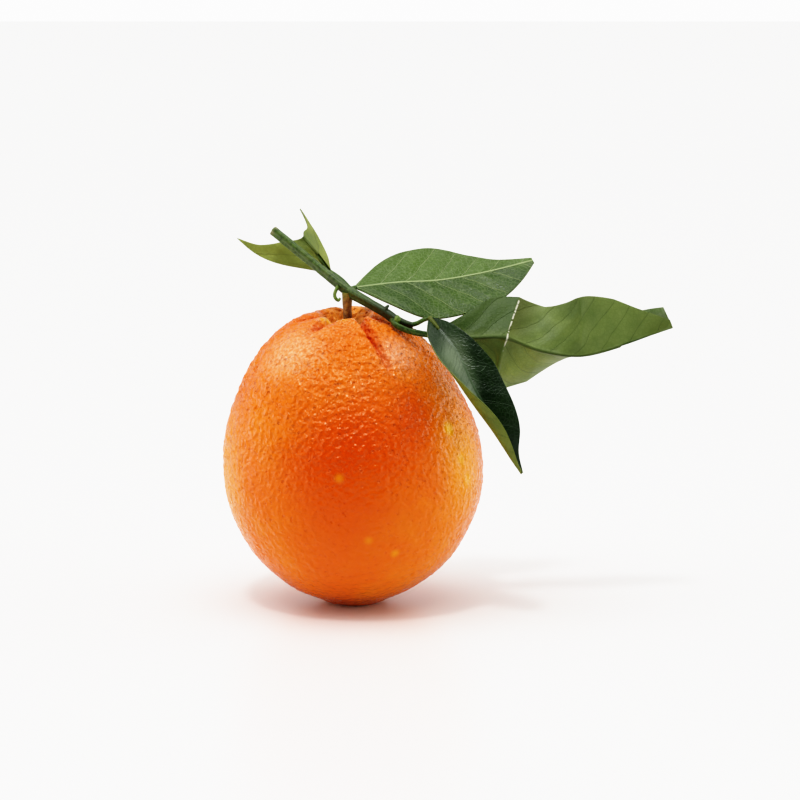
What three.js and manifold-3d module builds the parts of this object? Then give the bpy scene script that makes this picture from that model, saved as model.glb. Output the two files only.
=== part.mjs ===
// An orange as picked: the whole fruit with its stalk, a length of twig and four leaves.
// Millimetres, +Z up. The origin is the centre of the small flat spot the fruit rests on.
import * as THREE from "three";
import { mergeVertices } from "three/addons/utils/BufferGeometryUtils.js";
import Module from "manifold-3d";

const wasm = await Module();
wasm.setup();

// ---- driving dimensions ----
const joinGap = 0.3; // clearance kept between two pieces that grow together
const leafThickness = 0.45;
const twigSides = 12;

// The fruit: 76 mm across, 86 mm tall.
// Each station is [radius, height], from the floor of the stalk dimple down to the flat spot.
const fruitProfile = [
  [0, 81.2], [4.6, 81.4], [6.3, 83.4], [8.3, 85.3], [11.3, 85], [15.5, 83.3], [20, 80.2],
  [24.4, 75.6], [28.5, 69.8], [32.2, 62.8], [35.1, 56.2], [37.1, 49.5], [38, 42], [37.6, 34.5],
  [35.9, 27.5], [33.1, 21], [29.6, 15.3], [25, 10.3], [18.6, 5.4], [12, 2.1], [7, 0], [0, 0],
];
const fruitColumns = 48;
const fruitLean = 1.9; // the stalk end leans this far towards -X
const rimTilt = 0.9; // the dimple's rim is lower in front and higher behind by this
const rimTiltSide = 0.35; // share of that tilt across, higher at +X
const leanStart = 35; // height where the lean begins
const leanEnd = 80; // height where it is complete

// Creases that run down the shoulder from the stalk dimple.
// angle: degrees anticlockwise from +X; depth and halfWidth in mm; reach: radius where it fades out.
const shoulderCreases = [
  { angle: -65, depth: 2.0, halfWidth: 1.9, reach: 30 },
  { angle: -115, depth: 1.6, halfWidth: 2.0, reach: 19 },
  { angle: -165, depth: 1.0, halfWidth: 1.8, reach: 20 },
  { angle: 150, depth: 0.5, halfWidth: 1.6, reach: 14 },
  { angle: 95, depth: 0.7, halfWidth: 1.8, reach: 19 },
  { angle: 40, depth: 0.9, halfWidth: 1.9, reach: 24 },
  { angle: -8, depth: 0.8, halfWidth: 2.2, reach: 25 },
];

// The calyx: a five-lobed woody star in the floor of the dimple.
const calyxRadius = 3.6;
const calyxLobe = 0.6; // how far each lobe stands out beyond the mean radius
const calyxBottom = 81.8;
const calyxHeight = 1.1;
const stalkFoot = [-1.6, 0];

// Woody shoots: the stations of the centre line, and the radius along it.
const twigShape = {
  path: [
    [-23.6, 9, 109], [-15.6, 6.8, 102.7], [-8.1, 4, 96.9], [-1.5, 0, 92.3], [4.1, -4.5, 89.5],
    [9.2, -7.8, 86.9], [13.2, -9.6, 84.4], [17.4, -10.2, 83.2],
  ],
  radius: [1.25, 1.3, 1.3, 1.5, 1.35, 1.3, 1.3, 0.85],
  steps: 24,
};
const stalkShape = {
  path: [[-1.55, 0, 83.2], [-1.7, 0, 87.6], [-1.6, 0, 92.2]],
  radius: [1.25, 1.35, 1.65],
  steps: 8,
};
const topPetioleShape = {
  path: [[-1.2, 0.4, 92.3], [-0.5, 1.3, 92.5], [0.2, 2.1, 92.7]],
  radius: [0.9, 0.8, 0.75],
  steps: 4,
};
const tornPetioleShape = {
  path: [[-1.4, 0.4, 92.8], [-3.9, 4.2, 94.9], [-6.4, 6.5, 96.4]],
  radius: [0.9, 0.85, 0.8],
  steps: 7,
};
const frontPetioleShape = {
  path: [[16.6, -10.2, 83.4], [18.5, -10.8, 84], [20.3, -12, 85.1], [21.8, -12.8, 85.7]],
  radius: [0.7, 0.65, 0.6, 0.6],
  steps: 8,
};
const foldedPetioleShape = {
  path: [[11.4, -9.2, 85], [12.6, -11.8, 83.6], [16, -12.6, 82.1], [19.5, -12.4, 81.3], [22.4, -12, 80.8]],
  radius: [0.95, 0.9, 0.85, 0.9, 0.85],
  steps: 12,
};
// A dried bract that curls under the twig beside the stalk.
const bractShape = {
  path: [[-4.2, 0.9, 93.7], [-5.3, -0.6, 91.6], [-5.2, -1.2, 90.2], [-4.3, -1.2, 89.4], [-3.7, -0.9, 90.1]],
  radius: [0.55, 0.5, 0.5, 0.45, 0.35],
  steps: 12,
};
// A small woody spur on the upper side of the twig.
const spurShape = {
  path: [[8.6, -8, 86.8], [9.6, -8.9, 88], [10.3, -9.4, 88.9]],
  radius: [0.8, 0.6, 0.35],
  steps: 4,
};
// The resting bud in the axil of the folded leaf.
const budCentre = [12.9, -11.2, 85.2];
const budRadii = [0.95, 0.95, 1.25];

// Leaves. spine: stations of the midrib from base to tip. face: which way the upper face looks.
// left and right, as seen standing on the upper face and looking to the tip:
//   width: half-width; fold: degrees the half rises at the midrib; curl: further degrees at the edge.
const topLeaf = {
  spine: [[0.5, 2.4, 92.75], [12.4, 6, 93.8], [25.4, 10, 94.1], [39.3, 14, 96.1], [53, 17, 99.2]],
  face: [[0, -0.5, 1], [0, -0.62, 1], [0, -0.7, 1], [0, -0.7, 1], [0, -0.6, 1]],
  left: {
    width: [0.5, 5.4, 9.2, 12.2, 13.6, 13.8, 11.7, 7.9, 4.6, 2.6, 1.2],
    fold: [2, 4, 4, 4, 2],
    curl: [0, 0, 0, 0, 0],
  },
  right: {
    width: [0.5, 6.8, 11.4, 14.2, 15, 14.7, 13.9, 12.8, 10.6, 6.9, 1.2],
    fold: [4, -2, -4, -4, 0],
    curl: [0, -6, -6, -6, 0],
  },
};
const frontLeaf = {
  spine: [[22, -13.1, 85.8], [29.3, -20.5, 77.6], [34.8, -26, 66.9], [41.5, -28.5, 55.9], [47.9, -28.5, 43.6]],
  face: [[0.1, -1, 0.3], [0.3, -1, 0.2], [0.2, -1, 0.1]],
  left: {
    width: [0.5, 3.4, 5, 6.6, 8.2, 8.4, 8, 7.1, 5.3, 1.9, 0.4],
    fold: [30, 22, 10, 8, 5],
    curl: [-10, -10, -10, -10, -10],
  },
  right: {
    width: [0.5, 4.8, 7, 9, 10.2, 10.5, 10, 9, 7, 4, 0.4],
    fold: [35, 22, 15, 15, 15],
    curl: [0, 20, 95, 150, 150],
  },
};
const foldedLeaf = {
  spine: [
    [22.8, -12, 80.7], [33.9, -13, 80], [43.4, -13.5, 80], [54.2, -13, 76.2], [65.8, -11.5, 74.7],
    [78.8, -9.5, 77.7], [92.2, -7.5, 82.1],
  ],
  face: [[0, 1, 0.3], [0, 1, 0.1], [0, 1, 0], [0, 1, 0]],
  left: {
    width: [0.5, 7, 11.5, 14.5, 16.7, 17.7, 17.6, 16.6, 15.5, 14, 12.3, 10.5, 7.4],
    fold: [5, 5, 5, 48, 86, 115, 145],
    curl: [0, 0, 0, 0, 0, 0, 0],
  },
  right: {
    width: [0.5, 4.8, 8.8, 12.2, 13.9, 14.5, 14.4, 15.3, 16.6, 16.4, 13.6, 8.4, 2.6],
    fold: [30, 40, 45, 36, 8, 10, 15],
    curl: [0, 0, 0, 0, 0, 0, 0],
  },
};
const tornLeaf = {
  spine: [[-6.8, 6.8, 96.7], [-11.7, 10.5, 103], [-18, 14, 110], [-24.7, 17.4, 117.6]],
  face: [[-0.42, 0.84, -0.34], [-0.42, 0.84, -0.34]],
  // How far each lengthwise line of the blade survives, from the left edge to the right edge.
  tear: [0.93, 0.76, 0.68, 0.63, 0.58, 0.53, 0.51, 0.54, 0.58, 0.6, 0.62, 0.68, 0.875],
  left: { width: [0.5, 6.9, 12.2, 17.2], fold: [36, 41, 43], curl: [0, 0] },
  right: { width: [0.5, 7.9, 13.6, 15.6], fold: [33, 33], curl: [0, 0] },
};

const leafColours = {
  top: 0x55803a,
  front: 0x2f5a30,
  folded: 0x748a3e,
  torn: 0x86a050,
};

// ---- shape helpers ----
const curveThrough = (points) =>
  new THREE.CatmullRomCurve3(points.map((p) => new THREE.Vector3(...p)), false, "catmullrom", 0.5);

// The value at t (0 to 1) of a smooth run through evenly spaced stations.
function along(stations, t) {
  const last = stations.length - 1;
  const x = Math.min(Math.max(t, 0), 1) * last;
  const i = Math.min(Math.floor(x), last - 1);
  const f = x - i;
  const b = stations[i];
  const c = stations[i + 1];
  const a = i > 0 ? stations[i - 1] : 2 * b - c;
  const d = i < last - 1 ? stations[i + 2] : 2 * c - b;
  return b + 0.5 * f * (c - a + f * (2 * a - 5 * b + 4 * c - d + f * (3 * (b - c) + d - a)));
}

// A geometry with only its position, its shared vertices merged.
function welded(geometry) {
  geometry.deleteAttribute("normal");
  geometry.deleteAttribute("uv");
  return mergeVertices(geometry, 1e-4);
}

// Moves every vertex of a geometry by a function from the old position to the new one.
function reshaped(geometry, move) {
  const position = geometry.getAttribute("position");
  const vertex = new THREE.Vector3();
  for (let i = 0; i < position.count; i++) {
    vertex.fromBufferAttribute(position, i);
    const moved = move(vertex);
    position.setXYZ(i, moved.x, moved.y, moved.z);
  }
  return welded(geometry);
}

function solidFrom(geometry) {
  return new wasm.Manifold(
    new wasm.Mesh({
      numProp: 3,
      vertProperties: geometry.getAttribute("position").array,
      triVerts: new Uint32Array(geometry.index.array),
    }),
  );
}

function geometryFrom(solid) {
  const made = solid.getMesh();
  const geometry = new THREE.BufferGeometry();
  geometry.setAttribute("position", new THREE.BufferAttribute(made.vertProperties, 3));
  geometry.setIndex(new THREE.BufferAttribute(made.triVerts, 1));
  return geometry;
}

// The geometry with room for its neighbours cut out of it.
function trimmed(geometry, neighbours) {
  let solid = solidFrom(geometry);
  for (const neighbour of neighbours) {
    solid = solid.subtract(solidFrom(neighbour));
  }
  const pieces = solid.decompose().sort((a, b) => b.volume() - a.volume());
  return geometryFrom(pieces[0]);
}

// A round shoot along a curve, tapering as its radius stations say, swollen by extra.
function shoot(shape, extra = 0) {
  const curve = curveThrough(shape.path);
  const frames = curve.computeFrenetFrames(shape.steps, false);
  const rod = new THREE.CylinderGeometry(1, 1, 1, twigSides, shape.steps);
  return reshaped(rod, (v) => {
    const step = Math.round((v.y + 0.5) * shape.steps);
    const t = step / shape.steps;
    const radius = along(shape.radius, t) + extra;
    const centre = curve.getPointAt(t);
    return centre
      .addScaledVector(frames.normals[step], v.x * radius)
      .addScaledVector(frames.binormals[step], -v.z * radius);
  });
}

// ---- the fruit ----
function leanAt(height) {
  const t = THREE.MathUtils.smoothstep(height, leanStart, leanEnd);
  return -fruitLean * t;
}

// How far the creases draw the skin in, at a point on the shoulder.
function creaseDepth(angle, radius) {
  let depth = 0;
  for (const crease of shoulderCreases) {
    const turn = angle - THREE.MathUtils.degToRad(crease.angle);
    const away = Math.atan2(Math.sin(turn), Math.cos(turn)) * Math.max(radius, 4);
    const start = THREE.MathUtils.smoothstep(radius, 4, 8);
    const finish = 1 - THREE.MathUtils.smoothstep(radius, crease.reach * 0.35, crease.reach);
    depth += crease.depth * start * finish * Math.exp(-((away / crease.halfWidth) ** 2));
  }
  return depth;
}

function fruitGeometry() {
  const profile = new THREE.SplineCurve(fruitProfile.map((p) => new THREE.Vector2(...p)));
  const rows = 2 * (fruitProfile.length - 1);
  const ball = new THREE.SphereGeometry(1, fruitColumns, rows);
  ball.rotateX(Math.PI / 2);
  return reshaped(ball, (v) => {
    const t = Math.acos(THREE.MathUtils.clamp(v.z, -1, 1)) / Math.PI;
    const station = profile.getPoint(t);
    const angle = Math.atan2(v.y, v.x);
    const height = Math.max(station.y, 0);
    const upper = height > 60 ? 1 : 0;
    const depth = upper * creaseDepth(angle, station.x);
    const slope = profile.getTangent(t);
    const radius = Math.max(station.x + slope.y * depth, 0);
    const nearRim = upper * THREE.MathUtils.smoothstep(station.x, 4, 8)
      * (1 - THREE.MathUtils.smoothstep(station.x, 9, 18));
    const tilt = rimTilt * nearRim * (Math.sin(angle) + rimTiltSide * Math.cos(angle));
    const top = height - slope.x * depth + tilt;
    return new THREE.Vector3(
      radius * Math.cos(angle) + leanAt(height),
      radius * Math.sin(angle),
      station.x > 0.01 || height < 1 ? top : height,
    );
  });
}

function calyxGeometry() {
  const disc = new THREE.SphereGeometry(1, 30, 8);
  disc.rotateX(Math.PI / 2);
  return reshaped(disc, (v) => {
    const angle = Math.atan2(v.y, v.x);
    const spread = Math.sqrt(v.x * v.x + v.y * v.y);
    const radius = spread * (calyxRadius + calyxLobe * Math.cos(5 * angle));
    const height = calyxHeight * (0.5 + 0.5 * v.z);
    return new THREE.Vector3(
      stalkFoot[0] + radius * Math.cos(angle),
      stalkFoot[1] + radius * Math.sin(angle),
      calyxBottom + height,
    );
  });
}

// ---- the leaves ----
// A blade is a thin slab bent onto the leaf's surface; x runs across it and y along it.
function bladeGeometry(leaf, across, lengthwise) {
  const spine = curveThrough(leaf.spine);
  const facing = curveThrough(leaf.face);
  const slab = new THREE.BoxGeometry(2, 1, 1, across, lengthwise, 1);
  return reshaped(slab, (v) => {
    const survives = leaf.tear ? along(leaf.tear, 0.5 - v.x / 2) : 1;
    const u = (v.y + 0.5) * survives;
    const tangent = spine.getTangent(u);
    const up = facing.getPoint(u);
    up.addScaledVector(tangent, -up.dot(tangent)).normalize();
    const rightward = new THREE.Vector3().crossVectors(tangent, up);
    const normalOf = (side, angle) =>
      up.clone().multiplyScalar(Math.cos(angle)).addScaledVector(rightward, -side * Math.sin(angle));
    const half = v.x < 0 ? leaf.left : leaf.right;
    const side = v.x < 0 ? -1 : 1;
    const fold = THREE.MathUtils.degToRad(along(half.fold, u));
    const curl = THREE.MathUtils.degToRad(along(half.curl, u)) || 1e-5;
    const width = along(half.width, u);
    const turn = fold + curl * Math.abs(v.x);
    const out = (width * (Math.sin(turn) - Math.sin(fold))) / curl;
    const rise = (width * (Math.cos(fold) - Math.cos(turn))) / curl;
    const point = spine.getPoint(u).addScaledVector(rightward, side * out).addScaledVector(up, rise);
    let normal = normalOf(side, turn);
    if (v.x === 0) {
      // On the midrib the two halves meet at a mitre.
      const other = THREE.MathUtils.degToRad(along(leaf.left.fold, u));
      const mitre = normal.clone().add(normalOf(-1, other)).normalize();
      normal = mitre.clone().divideScalar(Math.max(mitre.dot(normal), 0.6));
    }
    return point.addScaledVector(normal, v.z * leafThickness);
  });
}

// ---- assembly ----
const orange = new THREE.Group();
orange.name = "orange_with_leafy_twig";

function addPiece(name, geometry, colour, roughness) {
  const material = new THREE.MeshStandardMaterial({ color: colour, roughness, metalness: 0 });
  const mesh = new THREE.Mesh(geometry, material);
  mesh.name = name;
  orange.add(mesh);
}

const twigRoom = shoot(twigShape, joinGap);
const foldedPetioleRoom = shoot(foldedPetioleShape, joinGap);

const bud = new THREE.SphereGeometry(1, 12, 10);
bud.scale(...budRadii);
bud.translate(...budCentre);

addPiece("fruit", fruitGeometry(), 0xe6761c, 0.42);
addPiece("calyx", calyxGeometry(), 0x7a6a34, 0.75);
addPiece("fruit_stalk", trimmed(shoot(stalkShape), [twigRoom]), 0x7c4a2c, 0.6);
addPiece("twig", shoot(twigShape), 0x35502a, 0.5);
addPiece("bract", trimmed(shoot(bractShape), [twigRoom]), 0x7c9a48, 0.6);
addPiece("twig_spur", trimmed(shoot(spurShape), [twigRoom]), 0x4a4a2a, 0.65);
addPiece("leaf_bud", trimmed(welded(bud), [twigRoom, foldedPetioleRoom]), 0x5d8238, 0.6);
addPiece("torn_leaf_petiole", trimmed(shoot(tornPetioleShape), [twigRoom]), 0x5f7d3a, 0.55);
addPiece("torn_leaf_blade", bladeGeometry(tornLeaf, 16, 12), leafColours.torn, 0.6);
addPiece("top_leaf_petiole", trimmed(shoot(topPetioleShape), [twigRoom]), 0x7d9a45, 0.55);
addPiece("top_leaf_blade", bladeGeometry(topLeaf, 8, 20), leafColours.top, 0.4);
addPiece("folded_leaf_petiole", trimmed(shoot(foldedPetioleShape), [twigRoom]), 0x5c7a36, 0.55);
addPiece("folded_leaf_blade", bladeGeometry(foldedLeaf, 8, 24), leafColours.folded, 0.6);
addPiece("front_leaf_petiole", trimmed(shoot(frontPetioleShape), [twigRoom]), 0x4d6a30, 0.55);
addPiece("front_leaf_blade", bladeGeometry(frontLeaf, 12, 20), leafColours.front, 0.35);

export default orange;
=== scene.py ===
import math

import bmesh
import bpy
from mathutils import Matrix, Quaternion, Vector, noise


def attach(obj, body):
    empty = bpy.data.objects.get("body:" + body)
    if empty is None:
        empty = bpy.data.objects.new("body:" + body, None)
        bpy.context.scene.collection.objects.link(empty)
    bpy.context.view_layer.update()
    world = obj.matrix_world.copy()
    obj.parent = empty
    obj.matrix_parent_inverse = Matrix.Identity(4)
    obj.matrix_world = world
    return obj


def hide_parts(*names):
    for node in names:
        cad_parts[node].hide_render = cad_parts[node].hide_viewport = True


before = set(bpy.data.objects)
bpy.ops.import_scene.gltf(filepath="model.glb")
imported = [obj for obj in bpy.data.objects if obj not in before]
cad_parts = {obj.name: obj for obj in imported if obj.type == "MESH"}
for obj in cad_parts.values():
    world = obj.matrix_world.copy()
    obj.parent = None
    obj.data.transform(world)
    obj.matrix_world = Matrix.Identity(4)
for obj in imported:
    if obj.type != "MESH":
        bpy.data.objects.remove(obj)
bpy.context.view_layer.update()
scene = bpy.context.scene
mm = 0.001
print("frame loaded:", len(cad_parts), "solids")


# camera first, then the studio
camera = {
    "place": (13.6, -705.9, 171.8),  # mm
    "downwards": 9,  # degrees below level
    "lens": 110,
}

cameraData = bpy.data.cameras.new("studioCamera")
cameraData.lens = camera["lens"]
cameraData.sensor_width = 36
cameraData.clip_start = 0.01
cameraData.clip_end = 50
cameraObject = bpy.data.objects.new("studioCamera", cameraData)
cameraObject.location = Vector(camera["place"]) * mm
cameraObject.rotation_euler = (math.radians(90 - camera["downwards"]), 0, 0)
scene.collection.objects.link(cameraObject)
scene.camera = cameraObject
scene.view_settings.view_transform = "Standard"
scene.view_settings.look = "None"


def linearColour(text):
    # an sRGB hex colour as the linear values that shaders use
    channels = [int(text[i:i + 2], 16) / 255 for i in (0, 2, 4)]
    linear = [c / 12.92 if c <= 0.04045 else ((c + 0.055) / 1.055) ** 2.4 for c in channels]
    return (*linear, 1.0)


def addNode(tree, kind, values=None, links=None, ramp=None, **settings):
    # one shader node, with its settings, its socket values and what feeds it
    node = tree.nodes.new(kind)
    for name, value in settings.items():
        setattr(node, name, value)
    for socket, value in (values or {}).items():
        node.inputs[socket].default_value = value
    for socket, source in (links or {}).items():
        tree.links.new(source, node.inputs[socket])
    if ramp:
        stops = node.color_ramp.elements
        while len(stops) < len(ramp):
            stops.new(0.5)
        for stop, (place, colour) in zip(stops, ramp):
            stop.position = place
            stop.color = linearColour(colour)
    return node


def newMaterial(name):
    material = bpy.data.materials.new(name)
    material.use_nodes = True
    material.node_tree.nodes.clear()
    return material, material.node_tree


# the studio: a pale floor under soft overhead lamps, in a room that is white except on the camera's side
studio = {
    "floorHalf": 60.0,  # metres
    "floorColour": "f3f2f0",
    "floorRoughness": 0.3,
    "roomShown": 1.5,  # how bright the backdrop looks
    "roomLight": 0.85,  # how strongly the white room lights the orange
    "roomDark": 0.03,  # what is left of that on the camera's side
    "roomFade": (-0.92, -0.05),  # where the white begins and is full: -1 is the camera's side, 1 behind
    "roomSides": 2.2,  # how much brighter the low walls at the left and right are
    "sideEdges": (0.55, 0.9),  # where those walls begin and are full: 0 is the middle, 1 straight to the side
    "sideHeights": (0.1, 0.6),  # between which they fade: 0 is level, 1 overhead
    "sideTop": 0.1,  # what is left of them above that
    # name, strength, degrees across as seen from the orange, where it shines from
    "lamps": [("broadLamp", 1.7, 60, (-0.06, -0.2, 1.0)), ("smallLamp", 0.75, 7, (-0.15, -0.38, 1.0))],
    # light in, light out: a camera's soft toe and shoulder
    "filmCurve": [
        (0.01, 0.0016), (0.02, 0.004), (0.05, 0.017), (0.1, 0.058), (0.2, 0.166), (0.4, 0.4), (0.6, 0.61),
        (0.8, 0.78), (1.0, 0.89), (1.3, 0.957), (1.8, 0.985),
    ],
    "brightest": 2.5,  # the light that comes out as pure white
}


def makeStudio():
    bm = bmesh.new()
    bmesh.ops.create_grid(bm, x_segments=2, y_segments=2, size=studio["floorHalf"])
    mesh = bpy.data.meshes.new("studioFloor")
    bm.to_mesh(mesh)
    bm.free()
    floor = bpy.data.objects.new("studioFloor", mesh)
    scene.collection.objects.link(floor)
    material, tree = newMaterial("matteWhiteFloor")
    # smooth white board: plain and pale, with a faint sheen where it is seen low
    shader = addNode(tree, "ShaderNodeBsdfPrincipled", {
        "Base Color": linearColour(studio["floorColour"]), "IOR": 1.45,
        "Roughness": studio["floorRoughness"]})
    addNode(tree, "ShaderNodeOutputMaterial", links={"Surface": shader.outputs["BSDF"]})
    mesh.materials.append(material)

    for name, strength, width, source in studio["lamps"]:
        light = bpy.data.lights.new(name, "SUN")
        light.energy = strength
        light.angle = math.radians(width)
        lamp = bpy.data.objects.new(name, light)
        lamp.rotation_euler = (-Vector(source)).to_track_quat("-Z", "Y").to_euler()
        scene.collection.objects.link(lamp)

    world = bpy.data.worlds.new("paleStudio")
    world.use_nodes = True
    tree = world.node_tree
    tree.nodes.clear()
    direction = addNode(tree, "ShaderNodeTexCoord")
    split = addNode(tree, "ShaderNodeSeparateXYZ", links={"Vector": direction.outputs["Generated"]})
    fadeStart, fadeEnd = studio["roomFade"]
    gradient = addNode(tree, "ShaderNodeMapRange", {
        "From Min": fadeStart, "From Max": fadeEnd, "To Min": studio["roomDark"], "To Max": 1.0},
        {"Value": split.outputs["Y"]}, interpolation_type="SMOOTHSTEP")
    across = addNode(tree, "ShaderNodeMath", links={0: split.outputs["X"]}, operation="ABSOLUTE")
    sideStart, sideFull = studio["sideEdges"]
    sides = addNode(tree, "ShaderNodeMapRange", {
        "From Min": sideStart, "From Max": sideFull, "To Min": 0.0, "To Max": studio["roomSides"]},
        {"Value": across.outputs[0]}, interpolation_type="SMOOTHSTEP")
    lowest, highest = studio["sideHeights"]
    low = addNode(tree, "ShaderNodeMapRange", {
        "From Min": lowest, "From Max": highest, "To Min": 1, "To Max": studio["sideTop"]},
        {"Value": split.outputs["Z"]}, interpolation_type="SMOOTHSTEP")
    walls = addNode(tree, "ShaderNodeMath", links={0: sides.outputs["Result"], 1: low.outputs["Result"]},
                    operation="MULTIPLY")
    both = addNode(tree, "ShaderNodeMath", links={0: gradient.outputs["Result"], 1: walls.outputs[0]},
                   operation="ADD")
    room = addNode(tree, "ShaderNodeBackground", {"Strength": studio["roomLight"]},
                   {"Color": both.outputs[0]})
    seen = addNode(tree, "ShaderNodeBackground", {"Color": (1, 1, 1, 1), "Strength": studio["roomShown"]})
    rays = addNode(tree, "ShaderNodeLightPath")
    mixed = addNode(tree, "ShaderNodeMixShader", links={
        "Fac": rays.outputs["Is Camera Ray"], 1: room.outputs["Background"], 2: seen.outputs["Background"]})
    addNode(tree, "ShaderNodeOutputWorld", links={"Surface": mixed.outputs["Shader"]})
    scene.world = world

    scene.view_settings.use_curve_mapping = True
    film = scene.view_settings.curve_mapping
    film.use_clip = True
    film.clip_max_x = studio["brightest"]
    curve = film.curves[3]
    curve.points[-1].location = (studio["brightest"], 1.0)
    for place in studio["filmCurve"]:
        curve.points.new(*place)
    film.update()


makeStudio()
print("studio ready")


def along(stations, t):
    # the value at t, 0 to 1, of a smooth run through evenly spaced stations
    last = len(stations) - 1
    x = min(max(t, 0.0), 1.0) * last
    i = min(int(x), last - 1)
    f = x - i
    b, c = stations[i], stations[i + 1]
    a = stations[i - 1] if i > 0 else b * 2 - c
    d = stations[i + 2] if i < last - 1 else c * 2 - b
    return b + (c - a + (a * 2 - b * 5 + c * 4 - d + ((b - c) * 3 + d - a) * f) * f) * (0.5 * f)


def smoothStep(low, high, x):
    t = min(max((x - low) / (high - low), 0.0), 1.0)
    return t * t * (3 - 2 * t)


def finishPiece(bm, name, materials, node):
    mesh = bpy.data.meshes.new(name)
    bm.to_mesh(mesh)
    bm.free()
    mesh.shade_smooth()
    for material in materials:
        mesh.materials.append(material)
    piece = bpy.data.objects.new(name, mesh)
    scene.collection.objects.link(piece)
    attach(piece, "root")
    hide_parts(node)
    return piece


# the fruit
fruit = {
    "columns": 400,
    "rows": 240,
    # radius and height in mm, from the floor of the stalk dimple down to the flat spot
    "profile": [
        (0, 81.2), (4.6, 81.4), (6.3, 83.4), (8.3, 85.3), (11.3, 85.0), (15.5, 83.3), (20, 80.2),
        (24.4, 75.6), (28.5, 69.8), (32.2, 62.8), (35.1, 56.2), (37.1, 49.5), (38, 42), (37.6, 34.5),
        (35.9, 27.5), (33.1, 21), (29.6, 15.3), (25, 10.3), (18.6, 5.4), (12, 2.1), (7, 0), (0, 0),
    ],
    "lean": 1.9,  # mm that the stalk end leans to the left
    "leanHeights": (35, 80),  # where the lean begins and where it is complete
    "rimTilt": 0.9,  # mm that the dimple's rim is lower in front and higher behind
    "rimTiltSide": 0.35,  # share of that tilt across, higher at the right
    "shoulder": 60,  # height in mm above which there are creases and a rim
    "rimRadii": (4, 8, 9, 18),  # where the rim's tilt begins, is full, starts to fade and ends
    # creases from the dimple: angles along the way out, depth, half width, radius where it ends, raised lip
    "creases": [
        ((-60, -67, -67, -63, -60), 2.5, 1.15, 32, 0.75),
        ((-112, -116, -122, -128), 2.6, 1.5, 21, 0.5),
        ((-160, -165, -168, -170), 1.0, 1.5, 20, 0.25),
        ((152, 150, 147, 145), 0.5, 1.4, 15, 0.1),
        ((98, 95, 92, 90), 0.7, 1.5, 20, 0.15),
        ((38, 40, 43, 44), 0.9, 1.5, 25, 0.2),
        ((-10, -8, -6, -6), 0.9, 1.6, 25, 0.3),
        ((-45, -38, -33, -32), 0.6, 1.6, 22, 0.3),
    ],
    "creaseStart": (5, 10),  # radius where the creases begin and where they are at full depth
    "pebbleSize": 2.2,  # mm across one rounded bump of the skin
    "pebbleHeight": 0.27,
    "wrinkleSize": 1.25,
    "wrinkleHeight": 0.36,
    "swellSize": 12,  # mm, the fruit's own unevenness
    "swellHeight": 0.25,
    "smoothest": 0.42,  # share of the relief that is left low on the fruit
    "roughHeights": (30, 68),  # heights in mm over which the relief grows to its full size
}


def creaseShape(angle, radius):
    # depth below the plain surface, and how deep in a crease the point is, 0 to 1
    depth, inside = 0.0, 0.0
    start = smoothStep(*fruit["creaseStart"], radius)
    for angles, deepest, halfWidth, reach, lip in fruit["creases"]:
        if radius > reach:
            continue
        centre = math.radians(along(angles, (radius - 6) / (reach - 6)))
        turn = angle - centre
        away = math.atan2(math.sin(turn), math.cos(turn)) * max(radius, 4) / halfWidth
        if abs(away) > 5:
            continue
        fade = start * (1 - smoothStep(reach * 0.5, reach, radius))
        groove = math.exp(-away * away)
        sides = math.exp(-(abs(away) - 2.1) ** 2)
        depth += fade * (deepest * groove - lip * sides)
        inside = max(inside, fade * groove)
    return depth, inside


def skinRelief(point, height):
    # rounded pebbles with grooves between them, strongest on the shoulders
    q = point / mm
    rough = fruit["smoothest"] + (1 - fruit["smoothest"]) * smoothStep(*fruit["roughHeights"], height)
    warp = Vector([noise.noise(q / 5 + Vector(shift)) for shift in ((0, 0, 0), (9, 0, 0), (0, 9, 0))])
    gaps = noise.voronoi((q + warp * 1.5) / fruit["pebbleSize"])[0]
    pebble = smoothStep(0.0, 0.5, gaps[1] - gaps[0])
    wrinkle = noise.noise((q + warp) / fruit["wrinkleSize"])
    nearStalk = math.hypot(q.x + fruit["lean"], q.y)
    rough *= 0.2 + 0.8 * smoothStep(6, 16, nearStalk) if height > fruit["shoulder"] else 1
    relief = rough * (fruit["pebbleHeight"] * pebble + fruit["wrinkleHeight"] * wrinkle)
    return relief + fruit["swellHeight"] * noise.noise(q / fruit["swellSize"])


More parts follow.
